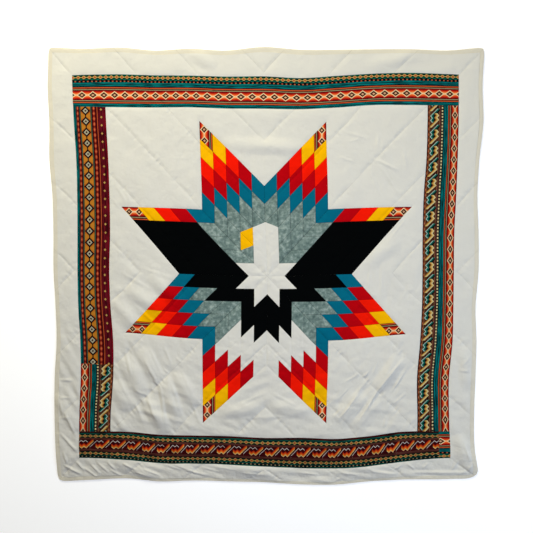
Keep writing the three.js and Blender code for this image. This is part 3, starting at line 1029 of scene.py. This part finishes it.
def add_field():
    """White squares at the corners, and at each side a piece with a notch for two of the star's points."""
    corners = ["upper_right", "upper_left", "lower_left", "lower_right"]
    sides = ["top", "left", "bottom", "right"]
    cloth = [FABRICS["white"], FABRICS["back"]]
    run = np.concatenate([breaks(INNER, TIP), breaks(TIP, FIELD_HALF)[1:]])
    length, high = FIELD_HALF - INNER, FIELD_HALF - POINT_SIDE
    for turns, (corner, side) in enumerate(zip(corners, sides)):

        def square(s, t):
            u, v = quarter(s, t, turns)
            past = np.maximum(np.maximum(s, t) - TIP, 0)
            rim = np.min([np.hypot(np.minimum(s, t) - INNER, past), FIELD_HALF - s, FIELD_HALF - t], axis=0)
            return u, v, rim, np.minimum(s, t) - INNER + FAINT, u, v

        def notched(s, t):
            across = (POINT_SIDE + np.abs(s)) * (1 - t) + FIELD_HALF * t
            u, v = quarter(s, across, turns)
            beyond = np.maximum(np.abs(s) + across - INNER - TIP, 0)
            from_notch = np.hypot(across - np.abs(s) - POINT_SIDE, beyond) / math.sqrt(2)
            rim = np.minimum(from_notch, FIELD_HALF - across)
            return u, v, np.maximum(rim, 0), INNER - np.abs(s) + FAINT, u, v

        piece = sew(f"white_square_{corner}", square, run, run, cloth)
        finish_piece(piece, f"corner_square_{corner}", (length, length))
        lines = np.linspace(0, 1, SIDE_PIECE_ROWS)
        piece = sew(f"white_side_{side}", notched, breaks(-INNER, INNER), lines, cloth)
        finish_piece(piece, f"side_piece_{side}", (2 * INNER, high))


def add_strip(name, node, columns, rows, fabric, out, thickness=cloth_thickness):
    """A straight strip. out says which way its outer edge lies: top, bottom, left or right.

    Its ends meet cloth of its own kind, so their seams are faint, as is a white strip's outer one.
    """
    across, up = breaks(*columns), breaks(*rows)

    def plan(u, v):
        ends = np.minimum(u - columns[0], columns[1] - u)
        sides = v - rows[0], rows[1] - v
        if out in ("left", "right"):
            ends, sides = np.minimum(*sides), (u - columns[0], columns[1] - u)
        outer, inner = sides if out in ("left", "bottom") else sides[::-1]
        grain = {"top": (u, outer), "bottom": (u, outer), "left": (v, outer), "right": (-v, outer)}[out]
        if fabric == "white":
            past_print = (np.maximum(np.abs(side) - PRINT_EDGE, 0) for side in (u, v))
            return u, v, np.hypot(*past_print), np.minimum(ends, outer) + FAINT, *grain
        return u, v, np.minimum(inner, outer), ends + FAINT, *grain

    piece = sew(name, plan, across, up, [FABRICS[fabric], FABRICS["back"]], thickness=thickness)
    finish_piece(piece, node, (columns[1] - columns[0], rows[1] - rows[0]))


# Where the strips' lengths are joined
LEFT_PRINT_JOIN = -INNER - 3 * COARSE_CELL
LOW_PRINT_JOINS = (-INNER - 6 * COARSE_CELL, FIELD_HALF + 2 * PRINT_WIDTH / 3)
SIDE_WHITE_JOIN = -INNER - 4 * COARSE_CELL
CORNER_WHITE_JOIN = -FIELD_HALF - PRINT_WIDTH / 3


def add_printed_border():
    """Printed strips. left_lower is of the right one's cloth, and bottom_right of the top one's."""
    f, p = FIELD_HALF, PRINT_EDGE
    left_join, (low_left, low_right) = LEFT_PRINT_JOIN, LOW_PRINT_JOINS
    for name, columns, rows, fabric, out in [
        ("top", (-p, p), (f, p), "top", "top"),
        ("left_upper", (-p, -f), (left_join, f), "left", "left"),
        ("left_lower", (-p, -f), (-f, left_join), "right", "left"),
        ("right", (f, p), (-f, f), "right", "right"),
        ("bottom_left", (-p, low_left), (-p, -f), "bottom", "bottom"),
        ("bottom", (low_left, low_right), (-p, -f), "bottom", "bottom"),
        ("bottom_right", (low_right, p), (-p, -f), "top", "bottom"),
    ]:
        add_strip(f"printed_{name}", f"print_strip_{name}", columns, rows, fabric, out)


def add_white_border():
    """White strips between the print and the binding."""
    p, w = PRINT_EDGE, WHITE_EDGE
    join, corner_join = SIDE_WHITE_JOIN, CORNER_WHITE_JOIN
    for name, columns, rows, out in [
        ("top", (-w, w), (p, w), "top"),
        ("bottom", (-w, w), (-w, -p), "bottom"),
        ("left_upper", (-w, -p), (join, p), "left"),
        ("left_lower", (-w, -p), (-p, join), "left"),
        ("right_upper", (p, w), (join, p), "right"),
        ("right_middle", (p, w), (corner_join, join), "right"),
        ("right_lower", (p, w), (-p, corner_join), "right"),
    ]:
        add_strip(f"white_{name}", f"white_strip_{name}", columns, rows, "white", out)


def add_binding():
    """Four narrow strips, of which the top and bottom ones have the corners."""
    w, e = WHITE_EDGE, EDGE
    for name, columns, rows in [
        ("top", (-e, e), (w, e)),
        ("bottom", (-e, e), (-e, -w)),
        ("left", (-e, -w), (-w, w)),
        ("right", (w, e), (-w, w)),
    ]:
        add_strip(f"rolled_{name}", f"binding_{name}", columns, rows, "cream", name,
                  binding_thickness)


# The stage, in metres
CAMERA_HEIGHT = 3.2
CAMERA_TILT = math.radians(4.5)  # how far the camera stands towards the top edge
PIXEL = 0.00418  # metres on the quilt for one pixel of the photo, at its middle
PHOTO_WIDTH = 533
SENSOR_WIDTH = 36.0  # mm
FLOOR_SIDE = 24.0


def add_floor():
    """A pale floor that glows a little, so that it comes out as white as the photo's ground."""
    bpy.ops.mesh.primitive_plane_add(size=FLOOR_SIDE)
    floor = bpy.context.object
    floor.name = "pale_floor"
    dye = Dye("pale floor")
    grain = dye.mixed(dye.cloud(30.0, 3.0), (0.9, 0.9, 0.9, 1), (0.93, 0.93, 0.93, 1))
    values = {"Base Color": grain, "Roughness": 0.95}
    values.update({"Emission Color": (1, 1, 1, 1), "Emission Strength": 0.38})
    shader = dye.node("ShaderNodeBsdfPrincipled", {}, values)
    dye.node("ShaderNodeOutputMaterial", {}, {0: shader.outputs[0]})
    floor.data.materials.append(dye.material)
    floor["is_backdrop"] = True


def add_lamp(name, spot, target, size, power, colour):
    """A square lamp, size metres on a side, that shines from its spot towards a target."""
    lamp = bpy.data.lights.new(name, "AREA")
    lamp.shape, lamp.size, lamp.energy, lamp.color = "SQUARE", size, power, colour
    made = bpy.data.objects.new(name, lamp)
    made.location = spot
    made.rotation_euler = (Vector(target) - Vector(spot)).to_track_quat("-Z", "Y").to_euler()
    bpy.context.scene.collection.objects.link(made)


def add_lights():
    """Warm light from past the top edge, cool light from the right, and a dim lamp over the middle."""
    world = bpy.data.worlds.new("soft studio")
    bpy.context.scene.world = world
    world.use_nodes = True
    background = world.node_tree.nodes["Background"]
    background.inputs[0].default_value = (1.0, 0.9, 0.88, 1)
    background.inputs[1].default_value = 0.12
    for name, spot, target, size, power, colour in [
        ("top_light", (-1.6, 3.2, 1.8), (0.0, 0.2, 0.0), 1.2, 144, (0.99, 0.955, 0.76)),
        ("right_light", (3.2, -0.9, 2.4), (0.2, -0.2, 0.0), 2.0, 76, (0.72, 0.84, 1.0)),
        ("middle_light", (0.05, 0.0, 1.6), (0.05, 0.0, 0.0), 0.8, 7.5, (0.72, 0.78, 0.95)),
    ]:
        add_lamp(name, spot, target, size, power, colour)
    bpy.context.scene.view_settings.view_transform = "Standard"


def add_camera():
    """Looks at the quilt's face, square to its top edge, from a little towards that edge."""
    camera = bpy.data.cameras.new("camera")
    made = bpy.data.objects.new("camera", camera)
    target = [shift / 1000 for shift in CENTRING] + [0.0]
    away = (0.0, math.sin(CAMERA_TILT), math.cos(CAMERA_TILT))
    made.location = [at + CAMERA_HEIGHT * part for at, part in zip(target, away)]
    made.rotation_euler = (-CAMERA_TILT, 0.0, 0.0)
    camera.sensor_width = SENSOR_WIDTH
    camera.lens = SENSOR_WIDTH * CAMERA_HEIGHT / (PIXEL * PHOTO_WIDTH)
    bpy.context.scene.collection.objects.link(made)
    bpy.context.scene.camera = made


add_camera()
add_star()
add_field()
add_printed_border()
add_white_border()
add_binding()
add_floor()
add_lights()

both = {"cad": CAD_BOX, "visual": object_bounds()}
{key: [list(map(float, corner)) for corner in box] for key, box in both.items()}
